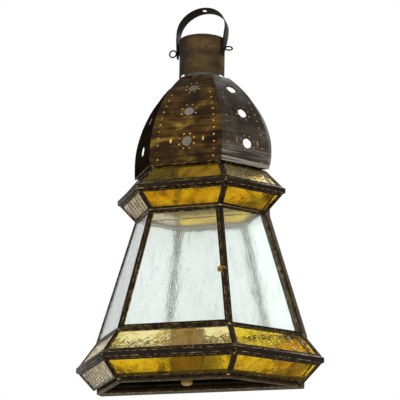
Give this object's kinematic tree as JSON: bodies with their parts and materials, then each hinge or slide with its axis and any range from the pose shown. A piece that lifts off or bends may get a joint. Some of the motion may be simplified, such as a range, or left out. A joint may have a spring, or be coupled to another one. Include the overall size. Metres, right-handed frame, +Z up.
{
  "type": "candle lantern",
  "caption": "Half-hexagon wall lantern for a candle: amber and clear panes in brass cames, hinged glass door, punched dome and swinging strap handle.",
  "frame": {"origin": "centre of the bounding box at the bottom rim's plane", "axes": "+Z up, +Y towards the wall, -Y the front with the door, +X the viewer's right"},
  "size_m": [0.3054, 0.1114, 0.4707],
  "materials": {
    "seedy_glass": "clear with small bubbles and streaks",
    "amber_glass": "hammered amber",
    "dark_came": "dark antique patina, edges rubbed bright",
    "antique_sheet": "antique brushed patina",
    "mirror": "silvered",
    "back_metal": "aged sheet, satin",
    "black_floor": "matt black",
    "dark_strap": "blackened, edges rubbed",
    "cup_metal": "dark antique patina",
    "bright_brass": "aged brass, satin"
  },
  "bodies": {
    "lantern": {"back_plate": "back_metal", "mirror_lower": "mirror", "mirror_body": "mirror", "mirror_upper": "mirror", "mirror_clips": "bright_brass", "back_frame": "back_metal", "rear_strap": "back_metal", "dome_seat": "antique_sheet", "base_rim": "bright_brass", "base_plate": "black_floor", "candle_cup": "cup_metal", "cup_foot": "bright_brass", "cap_nut": "bright_brass", "came_skirt_left": "dark_came", "came_skirt_front": "dark_came", "came_skirt_right": "dark_came", "came_shoulder_left": "dark_came", "came_shoulder_front": "dark_came", "came_shoulder_right": "dark_came", "came_eave_left": "dark_came", "came_eave_front": "dark_came", "came_eave_right": "dark_came", "came_roof_left": "dark_came", "came_roof_front": "dark_came", "came_roof_right": "dark_came", "glass_skirt_left": "amber_glass", "glass_skirt_front": "amber_glass", "glass_skirt_right": "amber_glass", "glass_shoulder_left": "amber_glass", "glass_shoulder_front": "amber_glass", "glass_shoulder_right": "amber_glass", "glass_eave_left": "amber_glass", "glass_eave_front": "amber_glass", "glass_eave_right": "amber_glass", "glass_roof_left": "amber_glass", "glass_roof_front": "amber_glass", "glass_roof_right": "amber_glass", "ridge_lower": "dark_came", "ridge_upper": "dark_came", "corner_leads": "bright_brass", "came_side_left": "dark_came", "came_side_right": "dark_came", "glass_side_left": "seedy_glass", "glass_side_right": "seedy_glass", "door_surround": "dark_came", "hinge_fixed": "bright_brass", "hinge_pins": "bright_brass", "latch_stud": "bright_brass", "dome_left": "antique_sheet", "dome_front": "antique_sheet", "dome_right": "antique_sheet", "neck_tube": "antique_sheet", "handle_pins": "dark_strap"},
    "door": {"door_frame": "bright_brass", "door_glass": "seedy_glass", "hinge_door": "bright_brass", "latch_plate": "bright_brass", "latch_rivet": "bright_brass"},
    "latch": {"latch_hook": "bright_brass"},
    "handle": {"handle": "dark_strap"}
  },
  "joints": [
    {"name": "door_hinge", "type": "hinge", "parent": "lantern", "child": "door", "pos_m": [-0.05303, -0.0285, 0.12821], "axis": [-0.1595, -0.193, -0.9681], "range_deg": [0, 100]},
    {"name": "latch_pivot", "type": "hinge", "parent": "door", "child": "latch", "pos_m": [0.04914, -0.02828, 0.12649], "axis": [0, -0.9807, 0.1955], "range_deg": [0, 95]},
    {"name": "handle_pivot", "type": "hinge", "parent": "lantern", "child": "handle", "pos_m": [0, 0.03368, 0.4126], "axis": [1, 0, 0], "range_deg": [-108, 132]}
  ]
}
